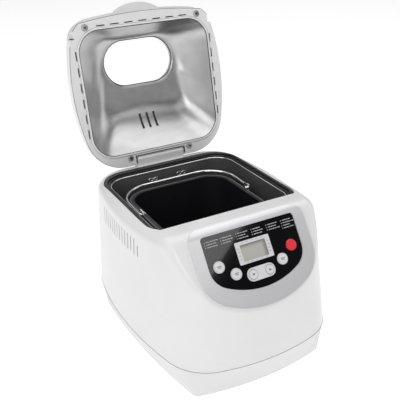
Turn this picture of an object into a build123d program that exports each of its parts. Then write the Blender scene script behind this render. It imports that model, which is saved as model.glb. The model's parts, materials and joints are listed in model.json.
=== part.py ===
from build123d import *

import math
import os

# A countertop bread machine, standing with its lid open, in millimetres and +Z up.
# X = 0 is the machine's middle, Y = 0 is the kneading shaft, and -Y is the control side.
# Z = 0 is the surface that the feet stand on.

# Driving sizes
RIM_Z = 213.0  # top deck
SEAM_Z = 48.0  # joint between housing and base tray
BASE_Z = 3.0  # underside of the base tray
WALL = 2.5  # moulded wall
HALF_W = 134.0  # half the width at the seam
REAR_Y = 141.0
FRONT_Y = -195.8
REAR_CORNER = 60.0
FRONT_CORNER = 66.0
TOP_Z = 233.0  # the walls lean in, so the same outline again at this height
TOP_HALF_W = 123.0
TOP_REAR_Y = 130.0
TOP_FRONT_Y = -184.8
TOP_REAR_CORNER = 56.0
TOP_CORNER = 95.0
BOW_Y = -10.0  # where the bowed sides are widest
FRONT_BOW_R = 282.0
SIDE_BOW_R = 550.0
FOOT_HALF_W = 119.5  # base tray's outline at the floor
FOOT_REAR_Y = 124.0
FOOT_FRONT_Y = -178.8
FOOT_BOW_Y = 40.0
FOOT_SIDE_R = 1009.0
FOOT_FRONT_R = 380.0
FOOT_REAR_CORNER = 34.0
FOOT_CORNER = 9.0
PANEL_SLANT = 55.8  # degrees from horizontal
PANEL_TOP = (0, -135.2, 212.9)  # top edge of the black overlay
PANEL_DEPTH = 2.5  # body surface below the overlay's face
CREST_Y = -95.5  # front edge of the opening
GLAND_AT = (56, 70)  # X and Z of the lead's bush
DECK_END = -55.0  # where the deck starts to rise to the brow
OPEN_ANGLE = 100.3  # lid, from closed
HINGE_Y = 121.2
HINGE_Z = 223.2
LINER_Z = 218.2  # underside of the closed lid
LINER_T = 2.0
LID_TOP = 267.0
LID_FRONT = -100.0
LID_BOW_R = 650.0
TAB_R = 62.0  # finger tab
CHAMBER_W = 200.0
CHAMBER_D = 196.0
CHAMBER_R = 30.0
CHAMBER_FLOOR = 52.0
SHEET = 1.0
PAN_W = 156.0  # pan, inside the rim
PAN_D = 148.0
PAN_R = 33.0
PAN_TOP = 190.0
PAN_FLOOR = 72.0
MOTOR_X = -42.0
MOTOR_Y = -146.0
PIVOT_Z = 192.7  # pan handle
PIVOT_X = 88.2
EAR_X = 83.6  # inner face of the handle's brackets
SHOULDER_R = 14.0  # housing, deck to walls
GAP = 0.3  # between parts that move past each other
VENTS = 14  # air slots in each side wall
VENT_PITCH = 8.9
VENT_REAR = 47.5
VENT_HIGH = 194.5
VENT_LOW = 171.5
CHASSIS_Z = 42.0  # underside of the chassis plate
CHASSIS_FEET = [(-84, 92), (84, 92), (-84, -132), (84, -132)]
FEET = [(-88, 98), (88, 98), (-80, -150), (80, -150)]  # rubber feet, X and Y
CHAMBER_TOP = 204.0
HEATER_Z = 78.0
HEATER_R = 3.3
HEATER_LEGS = (-22, 22)
SENSOR_AT = (20, 150)  # Y and Z
CHAMBER_BOLTS = [(-60, 60), (60, 60), (-60, -60), (60, -60)]
PULLEY_Z = 22.0
PULLEY_W = 12.0
PULLEY_R = 55.0
MOTOR_PULLEY_R = 9.0
STATOR_TOP = 92.0
MOTOR_BOLTS = [(MOTOR_X + 22 * a, MOTOR_Y + 22 * b) for a in (-1, 1) for b in (-1, 1)]
BEZEL_RISE = 3.8  # above the body surface
CONTROL_DEPTH = 9.0  # circuit board below the overlay
# Keys: X, distance down the panel and radius
BUTTONS = {
    "menu_button": (-53.7, 39.8, 7.4),
    "weight_button": (-34.0, 53.9, 7.4),
    "time_down_button": (-11.9, 60.8, 6.4),
    "time_up_button": (11.9, 60.8, 6.4),
    "crust_button": (34.2, 53.2, 7.4),
    "start_stop_button": (52.5, 39.6, 7.4),
}
STEM_R = 3.0  # key stems
TRAVEL = 1.0  # of a key
PILL = (60.8, 40.6, 17.0)  # time keys' trim: distance down, width, height
LCD = (31.65, 49.8, 28.6)  # display frame, the same
GLASS = (32.3, 37.0, 21.0)  # display glass, the same
WINDOW = (0, -22.0, 113.0, 68.0)  # X, Y, width and depth
DISH_W = 206.8  # reflector
DISH_D = 185.7
DISH_Y = 16.2
DISH_DEPTH = 39.6
DISH_TAPER = 24.0  # degrees
LIP_Y = -67.0  # step in the lid's liner
LIP_Z = 232.0
LINER_FRONT = -95.2
LINER_REVEAL = 1.2  # liner inside the cover's edge
NOTCH_W = 40.4  # half width of the hinge notch
LID_SCREWS = [(-89, -81.4), (89, -81.4), (-50, 116.5), (50, 116.5)]
GLASS_Z = LINER_Z + DISH_DEPTH + 1.6

PANEL = Plane(
    origin=PANEL_TOP,
    x_dir=(1, 0, 0),
    z_dir=(0, -math.sin(math.radians(PANEL_SLANT)), math.cos(math.radians(PANEL_SLANT))),
)
LID_AXIS = Axis((0, HINGE_Y, HINGE_Z), (1, 0, 0))


def block(x0, x1, y0, y1, z0, z1):
    """A box between two corners."""
    return Pos((x0 + x1) / 2, (y0 + y1) / 2, (z0 + z1) / 2) * Box(x1 - x0, y1 - y0, z1 - z0)


def drum(r, z0, z1, x=0, y=0):
    """An upright cylinder."""
    return Pos(x, y, (z0 + z1) / 2) * Cylinder(r, z1 - z0)


def tube(r, hole, z0, z1, x=0, y=0):
    """An upright tube."""
    return drum(r, z0, z1, x, y) - drum(hole, z0 - 1, z1 + 1, x, y)


def slab(w, d, r, z0, z1, y=0):
    """An upright rounded block, centred on X."""
    return Pos(0, y, z0) * extrude(RectangleRounded(w, d, r), z1 - z0)


def rod(r, start, end):
    """A round bar between two points."""
    axis = Vector(*end) - Vector(*start)
    return extrude(Plane(origin=start, z_dir=axis) * Circle(r), axis.length)


def both_sides(solid):
    """A solid and its mirror image across the machine."""
    return Compound([solid, mirror(solid, about=Plane.YZ)])


def on_panel(x, down, shape, low, high):
    """A shape drawn on the control panel, from one height to another along its normal."""
    return extrude(PANEL.offset(low) * Pos(x, -down) * shape, high - low)


def opened(solid):
    """Turn a piece of the closed lid to the open position."""
    return solid.rotate(LID_AXIS, -OPEN_ANGLE)


# ---- outlines and forms


def plan(inset, half, rear, front, bow_y, side_r, front_r, rear_corner, front_corner):
    """A body outline seen from above, with bowed front and sides, drawn in by inset."""
    low, high = front - 20, rear - inset
    face = Pos(0, (low + high) / 2) * Rectangle(2 * half + 20, high - low)
    face &= Pos(0, front + front_r) * Circle(front_r - inset)
    for side in (-1, 1):
        face &= Pos(side * (half - side_r), bow_y) * Circle(side_r - inset)
    face = face.face()
    face = fillet(face.vertices().sort_by(Axis.Y)[-2:], rear_corner - inset).face()
    return fillet(face.vertices().sort_by(Axis.Y)[:2], front_corner - inset).face()


def seam_plan(inset=0.0):
    """The widest outline, where the housing meets the base tray."""
    return plan(inset, HALF_W, REAR_Y, FRONT_Y, BOW_Y, SIDE_BOW_R, FRONT_BOW_R, REAR_CORNER, FRONT_CORNER)


def top_plan(inset=0.0):
    """The outline that the leaning walls reach above the deck."""
    ends = (TOP_HALF_W, TOP_REAR_Y, TOP_FRONT_Y)
    return plan(inset, *ends, BOW_Y, SIDE_BOW_R, FRONT_BOW_R, TOP_REAR_CORNER, TOP_CORNER)


def foot_plan(inset=0.0):
    """The base tray's outline at the floor."""
    ends = (FOOT_HALF_W, FOOT_REAR_Y, FOOT_FRONT_Y)
    return plan(inset, *ends, FOOT_BOW_Y, FOOT_SIDE_R, FOOT_FRONT_R, FOOT_REAR_CORNER, FOOT_CORNER)


def side_profile(inset):
    """The housing from the side: deck, rising crest, brow and slanted control face."""
    slope = math.radians(PANEL_SLANT)
    back = PANEL_DEPTH / math.sin(slope)
    brow_z = RIM_Z + 6.2
    brow_y = PANEL_TOP[1] + back + (brow_z - PANEL_TOP[2]) / math.tan(slope)
    run = 260
    far = (brow_y - run * math.cos(slope), brow_z - run * math.sin(slope))
    points = [(160, -40), (160, RIM_Z), (DECK_END, RIM_Z), (brow_y, brow_z), far, (far[0], -40)]
    face = make_face(Polyline(*points, close=True)).face()
    if inset:
        face = offset(face, -inset, kind=Kind.INTERSECTION).face()
    upper = face.vertices().sort_by(Axis.Y)
    brow, bend = upper[-1], nearest(upper, DECK_END, RIM_Z - inset)
    face = fillet(brow, 22 - inset).face()
    return fillet(nearest(face.vertices(), bend.X, bend.Y), 300 + inset).face()


def nearest(vertices, x, y):
    """The vertex of a flat face that lies nearest a point."""
    return min(vertices, key=lambda v: math.hypot(v.X - x, v.Y - y))


def body_form(inset):
    """The housing's solid form above the seam, drawn in by inset."""
    outlines = [Pos(0, 0, SEAM_Z) * seam_plan(inset), Pos(0, 0, TOP_Z) * top_plan(inset)]
    form = loft(outlines, ruled=True)
    form &= extrude(Plane.YZ * side_profile(inset), 150, both=True)
    edges = [e for e in form.edges() if e.center().Z > 100 and not upright(e)]
    return fillet([e for e in edges if on_shoulder(e, inset)], SHOULDER_R - inset)


def upright(edge):
    """Does an edge run mostly upwards on the side wall?"""
    a, b = edge @ 0, edge @ 1
    return abs(a.Z - b.Z) > 100 and abs(a.Y - b.Y) < 10


def on_shoulder(edge, inset):
    """Does an edge lie where the top surfaces meet the walls?"""
    mid = edge @ 0.5
    return abs(mid.X) > 96 - inset or mid.Y > 100 or mid.Z < 150


def panel_outline(half, top, bottom, top_r, corner_r, bow_r):
    """A D-shaped panel outline: straight top, round lower corners and a bowed lower edge."""
    face = Pos(0, -(top + bottom) / 2) * Rectangle(2 * half, bottom - top)
    face = (face & Pos(0, bow_r - bottom) * Circle(bow_r)).face()
    face = fillet(face.vertices().sort_by(Axis.Y)[:2], corner_r).face()
    return fillet(face.vertices().sort_by(Axis.Y)[-2:], top_r).face()


def overlay_outline(inset=0.0):
    top_r = max(4.5 - inset, 1)
    return panel_outline(67.8 - inset, inset, 79.2 - inset, top_r, 28 - inset, 113 - inset)


def lid_plan(inset=0.0):
    """The lid's outline seen from above when closed."""
    front, rear, half, middle = LID_FRONT, 129.2, 122.0, 8.8
    face = Pos(0, (front + rear) / 2) * Rectangle(2 * (half - inset), rear - front - 2 * inset)
    face &= Pos(0, front + LID_BOW_R) * Circle(LID_BOW_R - inset)
    for side in (-1, 1):
        face &= Pos(side * (half - 330), middle) * Circle(330 - inset)
    face = face.face()
    face = fillet(face.vertices().sort_by(Axis.Y)[-2:], 58 - inset).face()
    return fillet(face.vertices().sort_by(Axis.Y)[:2], 36 - inset).face()


def lid_form(inset):
    """The lid's domed form above its liner, closed, drawn in by inset."""
    low = LINER_Z + LINER_T
    form = extrude(Pos(0, 0, low) * lid_plan(inset), LID_TOP - inset - low, taper=6)
    top = form.faces().sort_by(Axis.Z)[-1]
    return fillet(top.edges(), 28 - inset)


# ---- housing and base


def opening(inset=0.0):
    """The opening in the deck, as a face."""
    face = RectangleRounded(220 - 2 * inset, 224.3 - 2 * inset, 42 - inset)
    return Pos(0, 1.15) * face


def vent_slots():
    """Upright air slots through both side walls, the front one shorter."""
    slots = []
    for i in range(VENTS):
        y = VENT_REAR - VENT_PITCH * i
        high = VENT_HIGH - (7 if i == VENTS - 1 else 0)
        slots.append(block(112, 140, y - 1.1, y + 1.1, VENT_LOW, high))
    return both_sides(Compound(slots))


def outer_housing():
    shell = body_form(0) - body_form(WALL)
    mouth = extrude(Pos(0, 0, RIM_Z - 10) * opening(), 30)
    shell -= mouth & block(-150, 150, CREST_Y, 150, 0, 300)
    shell -= on_panel(0, 0, overlay_outline(5.5), -14, 20)
    shell -= vent_slots()
    shell -= gland_hole()
    return shell


def gland_hole(half=9.0):
    """The square hole for the lead's bush, or a larger or smaller one."""
    x, z = GLAND_AT
    return block(x - half, x + half, REAR_Y - 16, REAR_Y + 14, z - half, z + half)


def cord_gland():
    """Square bush in the rear wall where the mains lead leaves, with a lip on each side."""
    x, z = GLAND_AT
    body = gland_hole() & block(-150, 150, REAR_Y - 9, REAR_Y + 1.5, 0, 150)
    lips = block(-150, 150, REAR_Y - 0.1, REAR_Y + 1.5, 0, 150)
    lips += block(-150, 150, REAR_Y - 7, REAR_Y - 4.5, 0, 150)
    body += gland_hole(12) & lips
    return body - rod(4, (x, REAR_Y - 40, z), (x, REAR_Y + 14, z))


def base_tray():
    """Base tray: tapered walls, flat floor and posts for the chassis and feet."""
    outer = loft([Pos(0, 0, BASE_Z) * foot_plan(), Pos(0, 0, SEAM_Z) * seam_plan()], ruled=True)
    inner = loft([Pos(0, 0, BASE_Z) * foot_plan(WALL), Pos(0, 0, SEAM_Z) * seam_plan(WALL)], ruled=True)
    inner -= block(-150, 150, -220, 150, BASE_Z - 1, BASE_Z + WALL)
    tray = outer - inner
    for x, y in CHASSIS_FEET:
        tray += drum(6, BASE_Z + WALL - 0.1, CHASSIS_Z, x, y)
        tray -= drum(1.6, CHASSIS_Z - 16, CHASSIS_Z + 1, x, y)
    for x in range(-60, 61, 12):
        tray -= block(x - 2, x + 2, -70, -20, BASE_Z - 1, BASE_Z + WALL + 1)
    return tray


def rubber_feet():
    return Compound([drum(10, 0, BASE_Z, x, y) for x, y in FEET])


def chassis_plate():
    """Pressed steel plate that carries the chamber, drive and motor."""
    plate = extrude(Pos(0, 0, CHASSIS_Z) * seam_plan(12), 2)
    plate -= block(-150, 150, 104, 150, 0, 100)
    plate -= drum(9, 0, 100)
    plate -= drum(12, 0, 100, MOTOR_X, MOTOR_Y)
    for x, y in MOTOR_BOLTS + CHASSIS_FEET + CHAMBER_BOLTS:
        plate -= drum(2.2, 0, 100, x, y)
    return plate


def screw(x, y, z, length, r=1.9, head=3.6, down=True):
    """A pan-head screw whose head sits on height z."""
    sign = -1 if down else 1
    shank = drum(r, *sorted((z, z + sign * length)), x, y)
    cap = drum(head, *sorted((z, z - sign * 2.2)), x, y)
    return shank + cap


def frame_screws():
    """Screws of the chassis plate, the chamber and the motor."""
    solids = [screw(x, y, CHASSIS_Z + 2, 14, r=1.6) for x, y in CHASSIS_FEET]
    solids += [screw(x, y, CHAMBER_FLOOR, 9) for x, y in CHAMBER_BOLTS]
    solids += [screw(x, y, STATOR_TOP, STATOR_TOP - CHASSIS_Z + 4) for x, y in MOTOR_BOLTS]
    return Compound(solids)


# ---- chamber


def rim_frame():
    """Black frame between the deck and the chamber, with a step inside and a flange below."""
    low = CHAMBER_TOP + 0.4
    band = extrude(Pos(0, 0, low) * opening(GAP), 212.4 - low)
    band -= slab(211, 207, 33, 210.2, 220, y=0)
    band -= slab(204.6, 200.6, 31.5, low - 1, 220)
    flange = extrude(Pos(0, 0, low) * opening(-4), 1.6)
    flange -= slab(204.6, 200.6, 31.5, low - 1, 220)
    return band + flange


def baking_chamber():
    """Sheet metal chamber: rolled mouth, flange and floor with the drive opening."""
    wall = SHEET
    outer = slab(CHAMBER_W + 2 * wall, CHAMBER_D + 2 * wall, CHAMBER_R + wall, CHAMBER_FLOOR - wall, 208)
    outer += slab(CHAMBER_W + 14, CHAMBER_D + 14, CHAMBER_R + 7, CHAMBER_TOP - wall, CHAMBER_TOP)
    body = outer - slab(CHAMBER_W, CHAMBER_D, CHAMBER_R, CHAMBER_FLOOR, 230)
    body -= drum(14, 40, 60)
    for x in HEATER_LEGS:
        body -= rod(4.6, (x, -90, HEATER_Z), (x, -110, HEATER_Z))
    body -= rod(3.1, (90, SENSOR_AT[0], SENSOR_AT[1]), (110, SENSOR_AT[0], SENSOR_AT[1]))
    for x, y in CHAMBER_BOLTS:
        body -= drum(2.1, 40, 60, x, y)
    return body


def chamber_spacers():
    """Steel spacers that hold the chamber off the chassis plate, screwed from inside."""
    low, high = CHASSIS_Z + 2, CHAMBER_FLOOR - SHEET
    posts = [tube(5, 2.1, low, high, x, y) for x, y in CHAMBER_BOLTS]
    return Compound(posts)


def heating_element():
    """Tubular heater: an open loop low in the chamber, with two legs out at the front."""
    half_x, half_y, r = 91.0, 89.0, 26.0
    leg = HEATER_LEGS[1]
    path = FilletPolyline(
        (-leg, -CHAMBER_D / 2 - 16),
        (-leg, -half_y),
        (-half_x, -half_y),
        (-half_x, half_y),
        (half_x, half_y),
        (half_x, -half_y),
        (leg, -half_y),
        (leg, -CHAMBER_D / 2 - 16),
        radius=[8, r, r, r, r, 8],
    )
    path = Pos(0, 0, HEATER_Z) * path
    ring = Plane(origin=path @ 0, z_dir=path % 0) * Circle(HEATER_R)
    return sweep(ring, path=path)


def heater_terminals():
    """Ceramic bushes where the heater's legs leave the chamber."""
    solids = []
    y = -CHAMBER_D / 2
    for x in HEATER_LEGS:
        bush = rod(4.6, (x, y + 1, HEATER_Z), (x, y - 6, HEATER_Z))
        bush += rod(7, (x, y - SHEET, HEATER_Z), (x, y - 6, HEATER_Z))
        solids.append(bush - rod(HEATER_R, (x, -80, HEATER_Z), (x, -130, HEATER_Z)))
    return Compound(solids)


def heater_clips():
    """Clips that hold the heater off the chamber walls."""
    clip = block(91, 100, -4, 4, HEATER_Z - 5.5, HEATER_Z + 5.5)
    clip -= rod(HEATER_R, (91, -10, HEATER_Z), (91, 10, HEATER_Z))
    side = both_sides(clip)
    rear = block(-4, 4, 89, 98, HEATER_Z - 5.5, HEATER_Z + 5.5)
    rear -= rod(HEATER_R, (-10, 89, HEATER_Z), (10, 89, HEATER_Z))
    return Compound([*side.solids(), rear.solid()])


def temperature_sensor():
    """Probe through the right chamber wall."""
    y, z = SENSOR_AT
    tip = rod(3, (94, y, z), (101.5, y, z)) + Pos(94, y, z) * Sphere(3)
    return tip + rod(6, (CHAMBER_W / 2 + SHEET, y, z), (108, y, z))


def thermal_fuse():
    """Cut-out clipped to the outside of the chamber's front wall."""
    y = -CHAMBER_D / 2 - SHEET
    body = block(48, 72, y - 7, y, 120, 130)
    return body + rod(1, (42, y - 3.5, 125), (78, y - 3.5, 125))


# ---- drive


def drive_bush():
    """Bearing housing through the chassis plate and chamber floor."""
    body = drum(8.9, 36, 50.6) + drum(16, CHASSIS_Z + 2, CHAMBER_FLOOR - SHEET)
    body += drum(13.8, CHAMBER_FLOOR - SHEET, 54.5)
    return body - drum(4.05, 30, 60)


def drive_shaft():
    return drum(4, PULLEY_Z - 4, 60.8)


def drive_coupling():
    """Hub with two upright dogs, under the pan."""
    hub = drum(11, 55.2, 61) - drum(4, 50, 70)
    dogs = block(9, 16, -3.5, 3.5, 55.2, 65.5)
    return hub + dogs + dogs.rotate(Axis.Z, 180)


def drive_pulley():
    """Large toothed pulley on the lower end of the shaft."""
    wheel = drum(PULLEY_R, PULLEY_Z, PULLEY_Z + PULLEY_W)
    wheel -= tube(PULLEY_R - 5, 14, PULLEY_Z + 3, PULLEY_Z + PULLEY_W + 1)
    for spot in PolarLocations(32, 5):
        wheel -= Pos(0, 0, PULLEY_Z) * spot * Cylinder(8, 20)
    wheel += drum(10, PULLEY_Z - 2, 35.5)
    return wheel - drum(4, 0, 60)


def drive_belt():
    """Flat belt round both pulleys, a running gap clear of each."""
    low, high = PULLEY_Z + 2, PULLEY_Z + PULLEY_W - 2
    reach = math.hypot(MOTOR_X, MOTOR_Y)
    inner = belt_loop(PULLEY_R + GAP, MOTOR_PULLEY_R + GAP, reach)
    outer = belt_loop(PULLEY_R + GAP + 2.2, MOTOR_PULLEY_R + GAP + 2.2, reach)
    band = extrude(Pos(0, 0, low) * (outer - inner), high - low)
    return band.rotate(Axis.Z, math.degrees(math.atan2(MOTOR_Y, MOTOR_X)))


def belt_loop(large, small, reach):
    """The face inside a belt round two pulleys, the large one at the origin."""
    tilt = math.acos((large - small) / reach)
    c, s = math.cos(tilt), math.sin(tilt)
    corners = [(large * c, large * s), (reach + small * c, small * s)]
    corners += [(reach + small * c, -small * s), (large * c, -large * s)]
    return make_face(Polyline(*corners, close=True)) + Circle(large) + Pos(reach, 0) * Circle(small)


def motor_pulley():
    wheel = drum(MOTOR_PULLEY_R, PULLEY_Z, PULLEY_Z + PULLEY_W, MOTOR_X, MOTOR_Y)
    wheel += drum(MOTOR_PULLEY_R + 3.2, PULLEY_Z - 1.5, PULLEY_Z, MOTOR_X, MOTOR_Y)
    return wheel - drum(2.5, 0, 60, MOTOR_X, MOTOR_Y)


def motor_shaft():
    shaft = drum(2.5, PULLEY_Z - 3, 122, MOTOR_X, MOTOR_Y)
    return shaft + drum(17, 58, 98, MOTOR_X, MOTOR_Y)


def motor_stator():
    """Square lamination stack with end windings, bolted to the chassis plate."""
    x, y = MOTOR_X, MOTOR_Y
    body = block(x - 30, x + 30, y - 30, y + 30, 62, STATOR_TOP)
    body += tube(26, 18.5, 54, 104, x, y)
    body -= drum(18.5, 50, 110, x, y)
    for px, py in MOTOR_BOLTS:
        body -= drum(2.2, 50, 110, px, py)
    return body


def motor_brackets():
    """End frames of the motor with its two bearings, and legs down to the plate."""
    x, y = MOTOR_X, MOTOR_Y
    top = block(x - 29, x + 29, y - 6, y + 6, 106, 109) + drum(8, 102, 109, x, y)
    top = top - drum(2.56, 90, 120, x, y)
    low = block(x - 27, x + 27, y - 6, y + 6, 48, 51) + drum(8, 46, 52, x, y)
    low = low - drum(2.56, 40, 60, x, y)
    legs = [tube(4, 2.2, CHASSIS_Z + 2, 62, px, py) for px, py in MOTOR_BOLTS]
    for end in (-1, 1):
        rail_x = x + 22 * end
        bar = block(rail_x - 5, rail_x + 5, y - 22, y + 22, 48, 51)
        for px, py in MOTOR_BOLTS:
            bar -= drum(2.2, 40, 60, px, py)
        low += bar
        post = block(x + 28 * end - 1, x + 28 * end + 1, y - 6, y + 6, STATOR_TOP, 109)
        top += post
    for leg in legs:
        low += leg
    return Compound([*top.solids(), *low.solids()])


def cooling_fan():
    """Small axial fan on the motor's upper shaft end."""
    z = 114
    hub = drum(7, z - 3, z + 5, MOTOR_X, MOTOR_Y) - drum(2.5, 100, 130, MOTOR_X, MOTOR_Y)
    for i in range(6):
        blade = Box(17, 9, 1.2).rotate(Axis.X, 28)
        blade = Pos(14, 0, z + 1) * blade
        hub += Pos(MOTOR_X, MOTOR_Y) * blade.rotate(Axis.Z, 60 * i)
    return hub - drum(2.5, 100, 130, MOTOR_X, MOTOR_Y)


# ---- electronics


def motor_capacitor():
    return rod(11, (24, -182, 58), (24, -142, 58))


def power_board():
    """Supply board standing in the front compartment."""
    board = block(6, 84, -124, -122.4, 52, 112)
    for x in (18, 44, 70):
        board += block(x - 7, x + 7, -137, -124, 60, 76)
    board += rod(7, (26, -124, 98), (26, -140, 98))
    return board


def transformer():
    body = block(46, 80, -172, -144, CHASSIS_Z + 2, 78)
    coil = block(51, 75, -177, -139, 50, 72)
    return body + coil


def control_bezel():
    """Raised ring round the overlay, following the brow and the slanted face."""
    ring = on_panel(0, 0, panel_outline(83.6, -12, 102, 17.6, 45, 125), -40, 12)
    ring -= on_panel(0, 0, overlay_outline(-GAP), -60, 30)
    lifted = body_form(-BEZEL_RISE)
    return largest((ring & lifted) - body_form(0))


def largest(shape):
    return shape.solids().sort_by(SortBy.VOLUME)[-1]


def control_overlay():
    """Flat black overlay with openings for the display, the time keys and the buttons."""
    plate = on_panel(0, 0, overlay_outline(), -2.0, 0)
    plate -= on_panel(0, LCD[0], RectangleRounded(LCD[1] + 0.2, LCD[2] + 0.2, 1.5), -3, 1)
    plate -= on_panel(0, PILL[0], RectangleRounded(PILL[1] + 0.2, PILL[2] + 0.2, 8.55), -3, 1)
    for name, (x, down, r) in BUTTONS.items():
        if "time" not in name:
            plate -= on_panel(x, down, Circle(r + GAP), -3, 1)
    return plate


def display_frame():
    """White display frame with tick marks at its edges."""
    frame = on_panel(0, LCD[0], RectangleRounded(LCD[1], LCD[2], 1.4), -2.0, 0.4)
    frame -= on_panel(0, GLASS[0], RectangleRounded(GLASS[1], GLASS[2], 1), -3, 1)
    return frame


def display_glass():
    return on_panel(0, GLASS[0], RectangleRounded(GLASS[1], GLASS[2], 1), -2.0, -0.6)


def display_module():
    """Liquid crystal module between the glass and the control board."""
    return on_panel(0, GLASS[0], RectangleRounded(46, 27, 1), -CONTROL_DEPTH + 1.6, -2.0)


def time_key_trim():
    """White pill-shaped trim round the two time keys, with a clock ring between them."""
    trim = on_panel(0, PILL[0], RectangleRounded(PILL[1], PILL[2], 8.4), -2.0, 0.6)
    for name, (x, down, r) in BUTTONS.items():
        if "time" in name:
            trim -= on_panel(x, down, Circle(r + GAP), -3, 2)
    return trim - on_panel(0, PILL[0], Circle(3) - Circle(2.4), 0.2, 1)


def push_button(x, down, r):
    """Round key: a cap with a softened edge above the overlay and a stem behind it."""
    cap = on_panel(x, down, Circle(r), -3.4, 1.8)
    cap = fillet(cap.edges().sort_by(Axis.Y)[:1], 0.8)
    return cap + on_panel(x, down, Circle(STEM_R), -CONTROL_DEPTH + 3.6 + TRAVEL + GAP, -3.4)


def control_board():
    """Circuit board behind the panel, on four posts."""
    return on_panel(0, 0, overlay_outline(9), -CONTROL_DEPTH, -CONTROL_DEPTH + 1.6)


def tact_switches():
    """One low switch under each key's stem."""
    low = -CONTROL_DEPTH + 1.6
    switches = [on_panel(x, down, Rectangle(6, 6), low, low + 2) for x, down, _ in BUTTONS.values()]
    return Compound(switches)


def control_carrier():
    """Plastic frame that holds the board and the overlay from behind."""
    low = -CONTROL_DEPTH
    frame = on_panel(0, 0, overlay_outline(5.8), low, -2.0)
    frame -= on_panel(0, 0, overlay_outline(8), low + 3, 0)
    frame -= on_panel(0, 0, overlay_outline(9), low - 1, 0)
    for x, down, r in BUTTONS.values():
        frame -= on_panel(x, down, Circle(r + GAP), -2.0 - TRAVEL - 3, 0)
    return frame


# ---- lid, modelled closed and then opened


def window_outline(grow=0.0):
    w, h = WINDOW[2] + 2 * grow, WINDOW[3] + 2 * grow
    return Pos(WINDOW[0], WINDOW[1]) * RectangleRounded(w, h, h / 2 - 0.01)


def hinge_notch():
    """The space that the lid leaves round the hinge tower."""
    return block(-NOTCH_W, NOTCH_W, HINGE_Y - 5.4, 150, 200, HINGE_Z + 12.5)


def dish_form(inset):
    """The reflector's form: a shallow tapered dish, closed position."""
    mouth = RectangleRounded(DISH_W - 2 * inset, DISH_D - 2 * inset, 33 - inset)
    form = extrude(Pos(0, DISH_Y, LINER_Z - 0.5) * mouth, DISH_DEPTH + 0.5 - inset, taper=DISH_TAPER)
    top = form.faces().sort_by(Axis.Z)[-1]
    return fillet(top.edges(), 18 - inset)


def liner_front(inset):
    """The liner's narrower front stretch, drawn in by inset."""
    face = lid_plan(LINER_REVEAL + inset) & Pos(0, LIP_Y - 60) * Rectangle(214 - 2 * inset, 120)
    return (face & Pos(0, LINER_FRONT + LID_BOW_R) * Circle(LID_BOW_R - inset)).face()


def lid_liner():
    """White inner frame of the lid, with a skirt at the front and air slots."""
    plate = extrude(Pos(0, 0, LINER_Z) * lid_plan(LINER_REVEAL), LINER_T)
    plate -= block(-200, 200, -200, LIP_Y, 200, 250)
    skirt = extrude(Pos(0, 0, LINER_Z) * liner_front(0), LIP_Z - LINER_Z)
    ledge = extrude(Pos(0, 0, LIP_Z - LINER_T) * lid_plan(LINER_REVEAL), LINER_T)
    skirt += ledge & block(-200, 200, -200, LIP_Y, 200, 250)
    skirt -= extrude(Pos(0, 0, LINER_Z + LINER_T) * liner_front(2), 50)
    skirt -= block(-200, 200, LIP_Y - 1.5, 0, LINER_Z + LINER_T, 250)
    plate += skirt
    plate -= extrude(Pos(0, DISH_Y, 200) * RectangleRounded(DISH_W + 0.4, DISH_D + 0.4, 33), 40)
    plate -= hinge_notch()
    for x, y in LID_SCREWS:
        plate -= drum(2, 200, 240, x, y)
    for x in (-65.5, -44, -22, 0, 22, 44, 65.5):
        plate -= block(x - 6.6, x + 6.6, -82.8, -81.2, 200, 225)
    for i in range(6):
        y = 1.1 * (103.04 - 43.3 - 20.5 * i + 3)
        slot = block(107, 109, y - 6.6, y + 6.6, 200, 225)
        plate -= slot
        plate -= mirror(slot, about=Plane.YZ)
    return largest(plate)


def lid_cover():
    """White domed cover with a finger tab, a window and hinge knuckles."""
    low = LINER_Z + LINER_T
    shell = lid_form(0) - lid_form(WALL)
    shell -= block(-200, 200, -200, LIP_Y, 200, LIP_Z)
    tab = Pos(0, TAB_R - 109, 236) * extrude(Circle(TAB_R), 8) & block(-60, 60, -120, -86, 230, 250)
    shell += tab - lid_form(0.5)
    collar = extrude(Pos(0, 0, GLASS_Z + 3) * window_outline(6), 3.5)
    shell += collar & lid_form(1)
    shell -= extrude(Pos(0, 0, 200) * window_outline(), 100)
    shell -= hinge_notch()
    for side in (-1, 1):
        knuckle = block(40.4, 51, HINGE_Y - 5, HINGE_Y + 7.4, low, HINGE_Z + 6)
        knuckle -= rod(1.66, (30, HINGE_Y, HINGE_Z), (60, HINGE_Y, HINGE_Z))
        shell += knuckle if side > 0 else mirror(knuckle, about=Plane.YZ)
    for x, y in LID_SCREWS:
        if y > 0:
            shell -= drum(1.5, low - 1, low + 1, x, y)
        else:
            shell += tube(4, 1.5, low, LID_TOP - 6, x, y) & lid_form(1)
    return largest(shell)


def lid_dish():
    """Aluminium reflector with a window opening and three air slots."""
    sheet = 0.8
    dish = dish_form(0) - dish_form(sheet)
    dish -= block(-200, 200, -200, 200, 200, LINER_Z)
    flange = Pos(0, DISH_Y, LINER_Z + LINER_T) * extrude(RectangleRounded(DISH_W + 5, DISH_D + 5, 35), 0.8)
    flange -= extrude(Pos(0, DISH_Y, LINER_Z - 1) * RectangleRounded(DISH_W - 3, DISH_D - 3, 31.5), 9)
    dish += flange
    dish -= extrude(Pos(0, 0, 240) * window_outline(), 40)
    for x in (-11.7, 0, 11.7):
        dish -= block(x - 1.3, x + 1.3, 58, 80, 240, 270)
    for x, y in LID_SCREWS:
        dish -= drum(3, 200, 240, x, y)
    return largest(dish)


def window_glass():
    return extrude(Pos(0, 0, GLASS_Z) * window_outline(5), 3)


def window_gasket():
    """Seal between the reflector and the glass."""
    ring = window_outline(5) - window_outline(0.5)
    return extrude(Pos(0, 0, LINER_Z + DISH_DEPTH) * ring, 1.6)


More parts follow.
